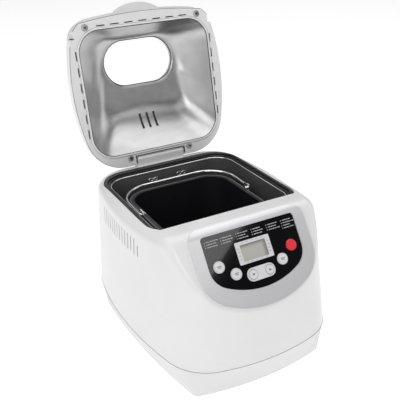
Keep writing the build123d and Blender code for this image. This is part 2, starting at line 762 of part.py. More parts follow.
def lid_screws():
    solids = []
    for x, y in LID_SCREWS:
        length = 12 if y < 0 else LINER_T + 0.9
        solids.append(screw(x, y, LINER_Z, length, r=1.5, head=3.4, down=False))
    return Compound(solids)


def hinge_tower():
    """Block on the rear deck that carries the lid's hinge pins."""
    half = NOTCH_W - 1.6
    rear = block(-half, half, HINGE_Y - 4.9, HINGE_Y + 4.9, 207, HINGE_Z)
    rear += rod(4.9, (-half, HINGE_Y, HINGE_Z), (half, HINGE_Y, HINGE_Z))
    foot = Plane.YZ * make_face(Polyline(
        (HINGE_Y, 207), (HINGE_Y + 4.6, HINGE_Z), (HINGE_Y + 9.6, RIM_Z), (HINGE_Y + 9.6, 207), close=True
    ))
    rear += extrude(foot, half, both=True)
    rear -= body_form(0)
    for side in (-1, 1):
        rear -= rod(1.6, (side * 24, HINGE_Y, HINGE_Z), (side * 60, HINGE_Y, HINGE_Z))
    return largest(rear)


def hinge_pins():
    return both_sides(rod(1.6, (24, HINGE_Y, HINGE_Z), (50.5, HINGE_Y, HINGE_Z)))


# ---- pan


def bread_pan():
    """Coated pan: tapered walls, rolled rim and a raised boss round the shaft."""
    outer = pan_form(0)
    pan = outer - pan_form(1.4)
    rim = slab(PAN_W + 9, PAN_D + 9, PAN_R + 4.5, PAN_TOP - 2.2, PAN_TOP)
    rim -= slab(PAN_W - 4, PAN_D - 4, PAN_R - 2, PAN_TOP - 5, PAN_TOP + 5)
    pan += rim - pan_form(1.4)
    return pan - drum(8.2, 60, 90)


def pan_form(inset):
    """The pan's form: narrower at the floor, with soft lower edges."""
    depth = PAN_TOP - PAN_FLOOR
    taper = 2.4
    w, d = PAN_W - 2 * inset, PAN_D - 2 * inset
    top = Plane.XY.offset(PAN_TOP) * RectangleRounded(w, d, PAN_R - inset)
    form = extrude(top, -(depth - inset), taper=taper)
    floor = form.faces().sort_by(Axis.Z)[0]
    return fillet(floor.edges(), 10 - inset)


def pan_base_ring():
    """Foot ring under the pan, with a flange for its rivets."""
    ring = tube(46, 44.6, 53.2, PAN_FLOOR)
    return ring + tube(54, 44.6, PAN_FLOOR - 1.2, PAN_FLOOR)


def pan_clips():
    """Spring clips on the chamber floor that hold the foot ring."""
    clip = block(46.4, 48, -9, 9, CHAMBER_FLOOR, 67) + block(46.4, 58, -9, 9, CHAMBER_FLOOR, 53)
    return both_sides(clip)


def pan_ears():
    """Formed brackets on the pan's sides that carry the handle."""
    low, wall_x = PIVOT_Z - 10, PAN_W / 2 - 4
    ear = block(EAR_X, EAR_X + 1.6, -7, 7, low, PIVOT_Z + 5.3)
    ear += block(wall_x, EAR_X + 1.6, -7, 7, low, low + 1.6)
    ear += block(wall_x, PAN_W / 2 + 0.4, -7, 7, low - 11, low + 1.6)
    ear -= rod(2.08, (70, 0, PIVOT_Z), (95, 0, PIVOT_Z))
    return both_sides(largest(ear - pan_form(0)))


def pan_handle():
    """Folding wire handle, lying back at rest, with its ends hooked through the ears."""
    reach = 84.5
    rise = 2.6
    path = FilletPolyline(
        (-PIVOT_X + 7.5, 0, PIVOT_Z),
        (-PIVOT_X, 0, PIVOT_Z),
        (-PIVOT_X, reach, PIVOT_Z + rise),
        (PIVOT_X, reach, PIVOT_Z + rise),
        (PIVOT_X, 0, PIVOT_Z),
        (PIVOT_X - 7.5, 0, PIVOT_Z),
        radius=[3, 46, 46, 3],
    )
    ring = Plane(origin=path @ 0, z_dir=path % 0) * Circle(2)
    return sweep(ring, path=path)


def pan_bush():
    """Bearing bush through the pan's floor."""
    body = drum(8.1, PAN_FLOOR - 5, PAN_FLOOR + 3.4) + drum(14, PAN_FLOOR - 5, PAN_FLOOR)
    return body - drum(4.05, 60, 90)


def pan_shaft():
    """Kneading shaft with a flat for the paddle."""
    shaft = drum(4, 61.6, PAN_FLOOR + 27)
    return shaft - block(2.6, 6, -6, 6, PAN_FLOOR + 8, 110)


def shaft_seal():
    """Seal washer on the shaft over the bush, turning with it."""
    return tube(7.5, 4, PAN_FLOOR + 3.9, PAN_FLOOR + 5.6)


def pan_coupling():
    """Wing under the pan that the drive's dogs push round."""
    hub = tube(8, 4, 61.4, 66.5)
    wing = block(-3.5, 3.5, 7.5, 17, 61.4, 66.5) + block(-3.5, 3.5, 11.5, 17, 58, 62)
    return hub + wing + wing.rotate(Axis.Z, 180)


def kneading_paddle():
    """Paddle with a hub that slips over the shaft and one swept blade."""
    low = PAN_FLOOR + 6.2
    hub = drum(8.5, low, low + 24) - drum(4.35, low - 1, low + 22)
    blade = Plane.XZ * make_face(Polyline(
        (6, low), (44, low), (40, low + 12), (26, low + 27), (14, low + 30), (6, low + 22), close=True
    ))
    hub += extrude(blade, 2, both=True) - drum(7, low - 1, low + 24)
    return hub


PIECES = {
    "outer_housing": outer_housing,
    "base_tray": base_tray,
    "rubber_feet": rubber_feet,
    "chassis_plate": chassis_plate,
    "frame_screws": frame_screws,
    "cord_gland": cord_gland,
    "rim_frame": rim_frame,
    "baking_chamber": baking_chamber,
    "chamber_spacers": chamber_spacers,
    "heating_element": heating_element,
    "heater_terminals": heater_terminals,
    "heater_clips": heater_clips,
    "temperature_sensor": temperature_sensor,
    "thermal_fuse": thermal_fuse,
    "pan_clips": pan_clips,
    "drive_bush": drive_bush,
    "drive_shaft": drive_shaft,
    "drive_coupling": drive_coupling,
    "drive_pulley": drive_pulley,
    "drive_belt": drive_belt,
    "motor_pulley": motor_pulley,
    "motor_shaft": motor_shaft,
    "motor_stator": motor_stator,
    "motor_brackets": motor_brackets,
    "cooling_fan": cooling_fan,
    "motor_capacitor": motor_capacitor,
    "power_board": power_board,
    "transformer": transformer,
    "control_bezel": control_bezel,
    "control_overlay": control_overlay,
    "control_carrier": control_carrier,
    "control_board": control_board,
    "tact_switches": tact_switches,
    "display_frame": display_frame,
    "display_glass": display_glass,
    "display_module": display_module,
    "time_key_trim": time_key_trim,
    "hinge_tower": hinge_tower,
    "hinge_pins": hinge_pins,
    "bread_pan": bread_pan,
    "pan_base_ring": pan_base_ring,
    "pan_ears": pan_ears,
    "pan_handle": pan_handle,
    "pan_bush": pan_bush,
    "pan_shaft": pan_shaft,
    "shaft_seal": shaft_seal,
    "pan_coupling": pan_coupling,
    "kneading_paddle": kneading_paddle,
}
LID_PIECES = {
    "lid_cover": lid_cover,
    "lid_liner": lid_liner,
    "lid_dish": lid_dish,
    "window_glass": window_glass,
    "window_gasket": window_gasket,
    "lid_screws": lid_screws,
}

os.makedirs("parts", exist_ok=True)
for node, make in PIECES.items():
    export_step(make(), f"parts/{node}.step")
for node, make in LID_PIECES.items():
    export_step(opened(make()), f"parts/{node}.step")
for node, (x, down, r) in BUTTONS.items():
    export_step(push_button(x, down, r), f"parts/{node}.step")
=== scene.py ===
"""A countertop bread machine with its lid open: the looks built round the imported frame, in metres."""

import json
import math

import bmesh
import bpy
from mathutils import Matrix, Vector


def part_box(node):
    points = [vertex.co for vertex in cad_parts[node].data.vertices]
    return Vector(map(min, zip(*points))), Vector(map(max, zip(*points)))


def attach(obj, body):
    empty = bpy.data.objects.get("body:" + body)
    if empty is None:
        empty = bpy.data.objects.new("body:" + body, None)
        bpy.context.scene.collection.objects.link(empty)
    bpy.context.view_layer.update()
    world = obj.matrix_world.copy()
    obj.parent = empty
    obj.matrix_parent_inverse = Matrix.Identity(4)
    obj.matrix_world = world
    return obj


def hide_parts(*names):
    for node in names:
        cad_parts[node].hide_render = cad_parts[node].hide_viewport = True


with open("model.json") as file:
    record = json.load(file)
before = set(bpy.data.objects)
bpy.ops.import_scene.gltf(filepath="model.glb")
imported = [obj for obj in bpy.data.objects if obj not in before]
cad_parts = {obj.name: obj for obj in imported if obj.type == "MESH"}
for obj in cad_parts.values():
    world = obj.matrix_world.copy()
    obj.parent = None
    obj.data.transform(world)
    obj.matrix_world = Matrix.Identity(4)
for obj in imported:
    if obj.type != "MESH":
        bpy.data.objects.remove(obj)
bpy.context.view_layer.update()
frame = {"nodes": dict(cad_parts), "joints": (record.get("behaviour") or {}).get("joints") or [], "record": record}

MM = 0.001
SUBPART_SLOTS = {s["node"]: s["material_slot"] for s in frame["record"]["subparts"]}
JOINTS = {j["name"]: j for j in frame["joints"]}

# ---- places read from the frame

LID_PIVOT = Vector(JOINTS["lid_hinge"]["pos_m"])
LID_OPEN = -max(abs(a) for a in JOINTS["lid_hinge"]["range_deg"])
PANEL_IN = Vector(JOINTS["menu_key_press"]["axis"])
OVERLAY_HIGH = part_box("control_overlay")[1]
CHAMBER_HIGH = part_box("baking_chamber")[1]
PAN_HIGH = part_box("bread_pan")[1]
EARS_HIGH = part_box("pan_ears")[1]
SEAM_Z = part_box("outer_housing")[0].z

PANEL_OUT = -PANEL_IN
PANEL_UP = PANEL_OUT.cross(Vector((1, 0, 0)))
OVERLAY_T = 2.0 * MM
PANEL_ORIGIN = Vector((0, OVERLAY_HIGH.y + OVERLAY_T * PANEL_OUT.y, OVERLAY_HIGH.z))
PANEL = Matrix((
    (1, PANEL_UP.x, PANEL_OUT.x, PANEL_ORIGIN.x),
    (0, PANEL_UP.y, PANEL_OUT.y, PANEL_ORIGIN.y),
    (0, PANEL_UP.z, PANEL_OUT.z, PANEL_ORIGIN.z),
    (0, 0, 0, 1),
))
LID = (
    Matrix.Translation(LID_PIVOT)
    @ Matrix.Rotation(math.radians(LID_OPEN), 4, "X")
    @ Matrix.Translation(-LID_PIVOT)
)
UPRIGHT = Matrix.Identity(4)

# ---- sizes and places of the details, in metres where MM is written and else in millimetres

RIM_STEP = (204.6 * MM, 200.6 * MM, 31.5 * MM)  # width, depth and corner radius inside the rim frame
CREST_Y = -95.5 * MM  # front edge of the opening
CHAMBER_REAR = CHAMBER_HIGH.y - 7.8 * MM
CHAMBER_MARKS = (-24, 24)
MARK_Z = 195
MARK_OFFSET = 4  # of each half from the mark's middle
MARK_HALVES = (3.4, 2.4)  # half width and half height of each loop
PIVOT_DROP = 5.3 * MM  # handle's pivot below the top of the pan's ears
LUG_SHAPE = ((-5.5, -8), (-5.5, 1), (-3.4, 4.4), (0, 5.4), (3.4, 4.4), (5.5, 1), (5.5, -8))
VENTS = 14
VENT_PITCH = 8.9
VENT_REAR = 47.5
VENT_HIGH = 194.5
VENT_LOW = 171.5
VENT_SHORTER = 7  # front slot's top below the others
WALL_HALF = 134  # half the housing's width at the seam, in millimetres
WALL_LEAN = 11 / 185  # of the side walls, inwards
WALL_BOW_R = 550
WALL_BOW_Y = -10
PRINT = 0.06 * MM  # thickness of printed marks
KEY_TOP = 1.8 * MM  # keys' faces above the overlay
PROGRAMME_LINES = (3, 3, 3, 3, 3, 4)  # printed lines in each column
PROGRAMME_LEFT = -61.5
PROGRAMME_PITCH = 22.3
PROGRAMME_TOP = -6.6
LINE_PITCH = 3.3
LINE_LENGTHS = (14.5, 11.5, 15.0, 10.5)
WORD_LENGTHS = (2.6, 1.7, 3.2, 2.2, 1.4, 2.9)
WORD_GAP = 0.55
LINER_Z = 218.2 * MM  # underside of the closed lid
DISH = (206.8 * MM, 185.7 * MM, 33 * MM)  # reflector's mouth: width, depth and corner radius
DISH_Y = 16.2 * MM
DISH_DEPTH = 39.6 * MM
BOWL_REACH = 68 * MM  # from the mouth to where the reflector is flat
BOWL_EASE = 1.9
DISH_SLOTS = (-11.7 * MM, 0, 11.7 * MM)
SLOT_START = 58
SLOT_LENGTH = 22
WINDOW = (113 * MM, 68 * MM, 33.99 * MM)
WINDOW_Y = -22 * MM
LIP_Y = -67 * MM  # step in the lid's liner
LID_SCREWS = [(-89, -81.4), (89, -81.4), (-50, 116.5), (50, 116.5)]
SCREW_HEAD = 2.2 * MM
NOTCH_HALF = 41.0 * MM  # hinge notch: half width, inner edge and outer end
NOTCH_EDGE = 115.0 * MM
NOTCH_BACK = 126 * MM

# ---- camera and light

CAMERA_AT = Vector((-381.5, -750.8, 596.0)) * MM
CAMERA_YAW = math.radians(27.25)
CAMERA_PITCH = math.radians(25.58)
CAMERA_ROLL = math.radians(-2.16)
CAMERA_LENS = 58.65
DOME = 0.30
BACKDROP = 1.05
PANEL_SEES = (0.416, -0.751, 0.514)  # direction of what the glossy overlay mirrors to the camera
GLARE_TOP = (-8, -1)  # spots on the overlay, in millimetres across and down, where the glare falls
GLARE_BOTTOM = (-47, -32)
GLARE_SIDE = (-60, -4)
GLARE_DISTANCE = 1.1
GLARE_SIZE = (0.30, 0.60)
GLARE_POWER = 0.75


# ---- materials


def new_material(name, colour, roughness, metallic=0.0, **sockets):
    """A Principled material. Constants are set on the shader's own sockets."""
    made = bpy.data.materials.new(name)
    made.use_nodes = True
    shader = made.node_tree.nodes["Principled BSDF"]
    shader.inputs["Base Color"].default_value = (*colour, 1)
    shader.inputs["Roughness"].default_value = roughness
    shader.inputs["Metallic"].default_value = metallic
    for socket, value in sockets.items():
        shader.inputs[socket.replace("_", " ")].default_value = value
    return made


def add(tree, kind, **values):
    """A node with some of its input sockets set."""
    node = tree.nodes.new(kind)
    for socket, value in values.items():
        node.inputs[socket.replace("_", " ")].default_value = value
    return node


def coordinates(tree, stretch=(1, 1, 1)):
    """The object's own coordinates, stretched."""
    source = tree.nodes.new("ShaderNodeTexCoord")
    mapping = add(tree, "ShaderNodeMapping", Scale=stretch)
    tree.links.new(source.outputs["Object"], mapping.inputs["Vector"])
    return mapping.outputs["Vector"]


def vary_colour(made, low, high, scale, stretch=(1, 1, 1), detail=3.0):
    """Cloudy variation of the base colour between two tones."""
    tree = made.node_tree
    noise = add(tree, "ShaderNodeTexNoise", Scale=scale, Detail=detail)
    tree.links.new(coordinates(tree, stretch), noise.inputs["Vector"])
    ramp = tree.nodes.new("ShaderNodeValToRGB")
    ramp.color_ramp.elements[0].position = 0.3
    ramp.color_ramp.elements[1].position = 0.7
    ramp.color_ramp.elements[0].color = (*low, 1)
    ramp.color_ramp.elements[1].color = (*high, 1)
    tree.links.new(noise.outputs["Fac"], ramp.inputs["Fac"])
    tree.links.new(ramp.outputs["Color"], tree.nodes["Principled BSDF"].inputs["Base Color"])
    return made


def vary_roughness(made, low, high, scale, stretch=(1, 1, 1)):
    """Uneven polish."""
    tree = made.node_tree
    noise = add(tree, "ShaderNodeTexNoise", Scale=scale, Detail=4.0)
    tree.links.new(coordinates(tree, stretch), noise.inputs["Vector"])
    spread = add(tree, "ShaderNodeMapRange", To_Min=low, To_Max=high)
    tree.links.new(noise.outputs["Fac"], spread.inputs["Value"])
    tree.links.new(spread.outputs["Result"], tree.nodes["Principled BSDF"].inputs["Roughness"])
    return made


def grain(made, scale, depth, stretch=(1, 1, 1), cells=False):
    """Fine relief: moulded grain, brushing or spots."""
    tree = made.node_tree
    if cells:
        relief = add(tree, "ShaderNodeTexVoronoi", Scale=scale)
        height = relief.outputs["Distance"]
    else:
        relief = add(tree, "ShaderNodeTexNoise", Scale=scale, Detail=2.0)
        height = relief.outputs["Fac"]
    tree.links.new(coordinates(tree, stretch), relief.inputs["Vector"])
    bump = add(tree, "ShaderNodeBump", Distance=depth, Strength=0.6)
    tree.links.new(height, bump.inputs["Height"])
    tree.links.new(bump.outputs["Normal"], tree.nodes["Principled BSDF"].inputs["Normal"])
    return made


def tones(colour, spread):
    """A darker and a lighter tone of one colour."""
    return tuple(c * (1 - spread) for c in colour), tuple(min(1, c * (1 + spread)) for c in colour)


def moulded(name, colour, roughness, spread=0.02, depth=0.02 * MM, scale=1400, **sockets):
    """Moulded plastic: faint mottling, uneven polish and a fine grain."""
    made = new_material(name, colour, roughness, **sockets)
    vary_colour(made, *tones(colour, spread), scale=14)
    vary_roughness(made, roughness * 0.88, roughness * 1.12, scale=60)
    return grain(made, scale, depth)


def metal(name, colour, roughness, stretch=(1, 1, 1), depth=0.01 * MM, scale=700, **sockets):
    """Metal with a fine directional finish."""
    made = new_material(name, colour, roughness, metallic=1.0, **sockets)
    vary_colour(made, *tones(colour, 0.06), scale=30, stretch=stretch)
    vary_roughness(made, roughness * 0.8, roughness * 1.25, scale=90, stretch=stretch)
    return grain(made, scale, depth, stretch)


def coated(name, colour, roughness, speck=0.25, **sockets):
    """Sprayed coating on metal, with fine specks."""
    made = new_material(name, colour, roughness, **sockets)
    vary_colour(made, *tones(colour, speck), scale=900, detail=1.0)
    vary_roughness(made, roughness * 0.85, roughness * 1.2, scale=50)
    return grain(made, 1100, 0.015 * MM, cells=True)


def display_material():
    """Liquid crystal display: greenish grey, darkened by a painted inner shadow along its upper and right edges.
    """
    made = new_material("display_grey", (0.46, 0.455, 0.42), 0.22, Coat_Weight=0.6, Coat_Roughness=0.04)
    tree = made.node_tree
    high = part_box("display_glass")[1]
    source = tree.nodes.new("ShaderNodeTexCoord")
    split = tree.nodes.new("ShaderNodeSeparateXYZ")
    tree.links.new(source.outputs["Object"], split.inputs["Vector"])
    # painted shade: the colour darkens towards the upper and right edges to stand in for the inner shadow of the
    # display frame
    across = add(tree, "ShaderNodeMapRange", From_Min=high.x - 7 * MM, From_Max=high.x)
    tree.links.new(split.outputs["X"], across.inputs["Value"])
    upward = add(tree, "ShaderNodeMapRange", From_Min=high.z - 4 * MM, From_Max=high.z)
    tree.links.new(split.outputs["Z"], upward.inputs["Value"])
    shade = tree.nodes.new("ShaderNodeMath")
    shade.operation = "MAXIMUM"
    tree.links.new(across.outputs["Result"], shade.inputs[0])
    tree.links.new(upward.outputs["Result"], shade.inputs[1])
    ramp = tree.nodes.new("ShaderNodeValToRGB")
    ramp.color_ramp.elements[0].color = (0.47, 0.465, 0.43, 1)
    ramp.color_ramp.elements[1].color = (0.20, 0.20, 0.185, 1)
    tree.links.new(shade.outputs["Value"], ramp.inputs["Fac"])
    tree.links.new(ramp.outputs["Color"], tree.nodes["Principled BSDF"].inputs["Base Color"])
    return grain(made, 900, 0.002 * MM)


def glass_material():
    """Clear glass with faint differences in its gloss."""
    made = new_material("clear_glass", (1, 1, 1), 0.02, Transmission_Weight=1.0, IOR=1.45)
    return vary_roughness(made, 0.01, 0.04, scale=30)


def winding_material(name, colour):
    """Varnished laminations and wire."""
    made = new_material(name, colour, 0.4, metallic=0.7)
    vary_colour(made, *tones(colour, 0.35), scale=8, stretch=(1, 1, 60))
    return grain(made, 300, 0.1 * MM, stretch=(1, 1, 8))


def make_finishes():
    """One material for each of the record's slots."""
    white = (0.80, 0.795, 0.80)
    return {
        "white_plastic": moulded("white_plastic", white, 0.30, Coat_Weight=0.35, Coat_Roughness=0.12),
        "base_plastic": moulded("base_plastic", (0.76, 0.76, 0.76), 0.42, depth=0.05 * MM, scale=900),
        "pearl_silver": pearl_material(),
        "black_gloss": moulded("black_gloss", (0.004, 0.004, 0.005), 0.09, 0.3, 0.002 * MM,
                               Coat_Weight=1.0, Coat_Roughness=0.03),
        "black_plastic": moulded("black_plastic", (0.016, 0.016, 0.017), 0.34, 0.15, 0.04 * MM, 900),
        "key_white": moulded("key_white", (0.74, 0.73, 0.745), 0.30, Coat_Weight=0.3),
        "key_red": moulded("key_red", (0.80, 0.035, 0.055), 0.28, 0.06, Coat_Weight=0.4),
        "display_white": moulded("display_white", (0.68, 0.675, 0.69), 0.34),
        "display_grey": display_material(),
        "clear_glass": glass_material(),
        "rubber": moulded("rubber", (0.03, 0.03, 0.03), 0.75, 0.2, 0.08 * MM, 600),
        "seal_grey": moulded("seal_grey", (0.16, 0.16, 0.16), 0.6, 0.1, 0.05 * MM, 700),
        "aluminium": metal("aluminium", (0.72, 0.72, 0.72), 0.24, stretch=(1, 3, 3), depth=0.002 * MM),
        "chamber_metal": coated("chamber_metal", (0.085, 0.085, 0.088), 0.36, 0.18, Coat_Weight=0.25),
        "nonstick": coated("nonstick", (0.010, 0.010, 0.012), 0.34, 0.5),
        "steel": metal("steel", (0.60, 0.60, 0.60), 0.30, stretch=(3, 3, 20)),
        "bright_wire": metal("bright_wire", (0.82, 0.82, 0.82), 0.10, depth=0.002 * MM),
        "heater_metal": metal("heater_metal", (0.25, 0.235, 0.22), 0.42, depth=0.03 * MM),
        "bronze": metal("bronze", (0.52, 0.36, 0.18), 0.36),
        "copper_windings": winding_material("copper_windings", (0.42, 0.22, 0.12)),
        "ceramic": moulded("ceramic", (0.72, 0.69, 0.64), 0.55, 0.05, 0.06 * MM, 500),
        "circuit_board": moulded("circuit_board", (0.02, 0.13, 0.05), 0.35, 0.25, 0.03 * MM, 400),
        "capacitor_can": moulded("capacitor_can", (0.10, 0.11, 0.13), 0.3, 0.1),
    }


def pearl_material():
    """Pearl-silver paint with fine flakes under a clear coat."""
    made = new_material("pearl_silver", (0.72, 0.71, 0.73), 0.30, metallic=0.35, Coat_Weight=0.6,
                        Coat_Roughness=0.08)
    vary_colour(made, (0.68, 0.67, 0.69), (0.80, 0.79, 0.81), scale=2200, detail=1.0)
    vary_roughness(made, 0.26, 0.36, scale=1500)
    return grain(made, 2200, 0.006 * MM, cells=True)


FINISHES = make_finishes()
for node, piece in frame["nodes"].items():
    for material_slot in piece.material_slots:
        material_slot.material = FINISHES[SUBPART_SLOTS[node]]


# ---- small shapes


def settle(piece, body, slot, material=None):
    """Give a new piece its finish and the body that it moves with."""
    piece.data.materials.append(material or FINISHES[slot])
    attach(piece, body)
    return piece


def tube(name, points, radius, body, slot, closed=True, material=None):
    """A round bead along a line of points."""
    curve = bpy.data.curves.new(name, "CURVE")
    curve.dimensions = "3D"
    curve.bevel_depth = radius
    curve.bevel_resolution = 3
    curve.use_fill_caps = True
    spline = curve.splines.new("POLY")
    spline.points.add(len(points) - 1)
    for target, point in zip(spline.points, points):
        target.co = (*point, 1)
    spline.use_cyclic_u = closed
    spline.use_smooth = True
    piece = bpy.data.objects.new(name, curve)
    bpy.context.scene.collection.objects.link(piece)
    return settle(piece, body, slot, material)


def plates(name, outlines, place, low, high, body, slot, material=None):
    """Thin raised plates on a plane, one for each closed outline of (x, y) points."""
    mesh = bmesh.new()
    for outline in outlines:
        top = [mesh.verts.new((x, y, high)) for x, y in outline]
        bottom = [mesh.verts.new((x, y, low)) for x, y in outline]
        mesh.faces.new(top)
        mesh.faces.new(bottom[::-1])
        count = len(outline)
        for i in range(count):
            j = (i + 1) % count
            mesh.faces.new((top[i], bottom[i], bottom[j], top[j]))
    mesh.transform(place)
    bmesh.ops.recalc_face_normals(mesh, faces=mesh.faces)
    data = bpy.data.meshes.new(name)
    mesh.to_mesh(data)
    mesh.free()
    piece = bpy.data.objects.new(name, data)
    bpy.context.scene.collection.objects.link(piece)
    return settle(piece, body, slot, material)


def arc(x, y, r, start, end, steps=10):
    """Points on an arc, angles in degrees."""
    turns = [math.radians(start + (end - start) * i / steps) for i in range(steps + 1)]
    return [(x + r * math.cos(a), y + r * math.sin(a)) for a in turns]


def rounded(x, y, w, h, r, steps=4):
    """A rounded rectangle round a centre."""
    a, b = w / 2 - r, h / 2 - r
    corners = [(a, b, 0), (-a, b, 90), (-a, -b, 180), (a, -b, 270)]
    return [p for cx, cy, turn in corners for p in arc(x + cx, y + cy, r, turn, turn + 90, steps)]


def lifted(outline, place, height):
    """An outline's points in space, at a height over a plane."""
    return [place @ Vector((x, y, height)) for x, y in outline]


def circle(count):
    """Cosine and sine at equal steps round a turn."""
    turns = [math.tau * i / count for i in range(count)]
    return [(math.cos(a), math.sin(a)) for a in turns]


def outline_at(node, height, place=UPRIGHT):
    """The convex outline of a CAD node at one height over a placed plane, as (x, y) points."""
    back = place.inverted()
    found = {(round(p.x, 6), round(p.y, 6)) for p in (back @ v.co for v in frame["nodes"][node].data.vertices)
             if abs(p.z - height) < 0.02 * MM}
    points = sorted(found)
    hull = []
    for run in (points, points[::-1]):
        start = len(hull)
        for p in run:
            while len(hull) - start >= 2 and turn(hull[-2], hull[-1], p) <= 0:
                hull.pop()
            hull.append(p)
        hull.pop()
    return hull


def turn(a, b, c):
    """Twice the signed area of a triangle, positive when it runs anticlockwise."""
    return (b[0] - a[0]) * (c[1] - a[1]) - (b[1] - a[1]) * (c[0] - a[0])


# ---- housing details


def seam_line():
    """The groove between housing and base tray."""
    outline = outline_at("outer_housing", SEAM_Z)
    tube("seam_groove", lifted(outline, UPRIGHT, SEAM_Z), 0.35 * MM, "housing", "black_plastic",
         material=moulded("seam_shadow", (0.20, 0.20, 0.20), 0.6))


seam_line()


def chamber_mouth():
    """The chamber's bright rolled edge."""
    outline = outline_at("baking_chamber", CHAMBER_HIGH.z)
    tube("chamber_rolled_edge", lifted(outline, UPRIGHT, CHAMBER_HIGH.z - 0.4 * MM), 1.1 * MM, "housing",
         "steel", material=FINISHES["bright_wire"])


chamber_mouth()


def pan_roll():
    """The pan's rolled rim."""
    outline = outline_at("bread_pan", PAN_HIGH.z)
    tube("pan_rolled_rim", lifted(outline, UPRIGHT, PAN_HIGH.z - 1.3 * MM), 1.9 * MM, "pan", "nonstick",
         material=coated("pan_rim_grey", (0.10, 0.10, 0.10), 0.35, 0.2))


pan_roll()


def rim_lines():
    """Two fine raised lines round the rim frame's step, the outer one held behind the opening's edge."""
    w, d, r = RIM_STEP
    inner = ("rim_line_inner", 1.0 * MM, 210.3 * MM, -1)
    outer = ("rim_line_outer", 5.0 * MM, 212.4 * MM, CREST_Y + 1.2 * MM)
    for name, grow, height, front in (inner, outer):
        line = rounded(0, 0, w + 2 * grow, d + 2 * grow, r + grow, 8)
        line = [(x, max(y, front)) for x, y in line]
        tube(name, lifted(line, UPRIGHT, height), 0.45 * MM, "housing", "black_plastic",
             material=FINISHES["black_gloss"])


rim_lines()


def wall_at(y, z):
    """Half the housing's width at a depth and height, in millimetres."""
    lean = WALL_LEAN * (z - SEAM_Z / MM)
    return WALL_HALF - lean - (y - WALL_BOW_Y) ** 2 / (2 * WALL_BOW_R)


def vent_shadows():
    """The dark inside of each air slot."""
    dark = moulded("vent_shadow", (0.10, 0.10, 0.10), 0.7)
    for i in range(VENTS):
        y = VENT_REAR - VENT_PITCH * i
        high = VENT_HIGH - (VENT_SHORTER if i == VENTS - 1 else 0)
        for side in (-1, 1):
            line = [Vector((side * (wall_at(y, z) - 1.5), y, z)) * MM for z in (VENT_LOW + 1, high - 1)]
            tube(f"vent_shadow_{i}_{side + 1}", line, 1.0 * MM, "housing", "black_plastic", closed=False,
                 material=dark)


vent_shadows()


def chamber_details():
    """Two pressed marks high on the chamber's rear wall."""
    half_w, half_h = MARK_HALVES
    for i, middle in enumerate(CHAMBER_MARKS):
        for side in (-1, 1):
            x = middle + side * MARK_OFFSET
            points = [Vector(((x + half_w * c) * MM, CHAMBER_REAR, (MARK_Z + half_h * s) * MM))
                      for c, s in circle(24)]
            tube(f"chamber_mark_{i}_{side + 1}", points, 0.7 * MM, "housing", "chamber_metal",
                 material=FINISHES["bright_wire"])


chamber_details()


def handle_lugs():
    """Bright formed lugs over the ends of the handle, fixed to the brackets."""
    for side in (-1, 1):
        x = side * (EARS_HIGH.x + 0.5 * MM)
        z = EARS_HIGH.z - PIVOT_DROP
        outline = [Vector((x, y * MM, z + h * MM)) for y, h in LUG_SHAPE]
        tube(f"handle_lug_{side + 1}", outline, 0.7 * MM, "pan", "steel", closed=False,
             material=FINISHES["bright_wire"])


handle_lugs()


# ---- control panel details

print_grey = moulded("print_grey", (0.42, 0.42, 0.43), 0.5)
mark_grey = moulded("mark_grey", (0.10, 0.10, 0.11), 0.5)


def programme_columns():
    """Six columns of small printed marks along the overlay's upper edge, each line in short pieces."""
    marks = []
    for column, count in enumerate(PROGRAMME_LINES):
        left = PROGRAMME_LEFT + PROGRAMME_PITCH * column
        for line in range(count):
            y = PROGRAMME_TOP - LINE_PITCH * line
            marks.append(rounded((left - 1.6) * MM, y * MM, 0.9 * MM, 1.5 * MM, 0.3 * MM, 2))
            at = left + 0.6
            end = left + LINE_LENGTHS[(line + column) % len(LINE_LENGTHS)]
            step = line + column
            while at < end:
                width = WORD_LENGTHS[step % len(WORD_LENGTHS)]
                marks.append(rounded((at + width / 2) * MM, y * MM, width * MM, 1.15 * MM, 0.35 * MM, 2))
                at += width + WORD_GAP
                step += 1
    plates("programme_marks", marks, PANEL, 0, PRINT, "housing", "display_white", print_grey)


programme_columns()


def display_marks():
    """Tick marks round the display frame."""
    ticks = []
    for side in (-1, 1):
        for i in range(4):
            y = -(25.5 + 4.4 * i)
            ticks.append(rounded(side * 21.6 * MM, y * MM, 2.6 * MM, 1.3 * MM, 0.3 * MM, 2))
    for row in (-19.2, -44.1):
        for i in range(5):
            ticks.append(rounded((-14 + 7 * i) * MM, row * MM, 3.6 * MM, 0.9 * MM, 0.3 * MM, 2))
    plates("display_ticks", ticks, PANEL, 0.4 * MM, 0.4 * MM + PRINT, "housing", "display_grey", print_grey)


display_marks()


def key_place(name):
    """A key's middle on the panel, as (x, y) on the panel's plane."""
    local = PANEL.inverted() @ Vector(JOINTS[name]["pos_m"])
    return local.x, local.y


def key_ring(name, x, y, radius, thickness, material):
    """A fine ring on a key's face."""
    ring = [(x + radius * c, y + radius * s) for c, s in circle(40)]
    tube(name + "_ring", lifted(ring, PANEL, KEY_TOP), thickness, name, "key_white", material=material)


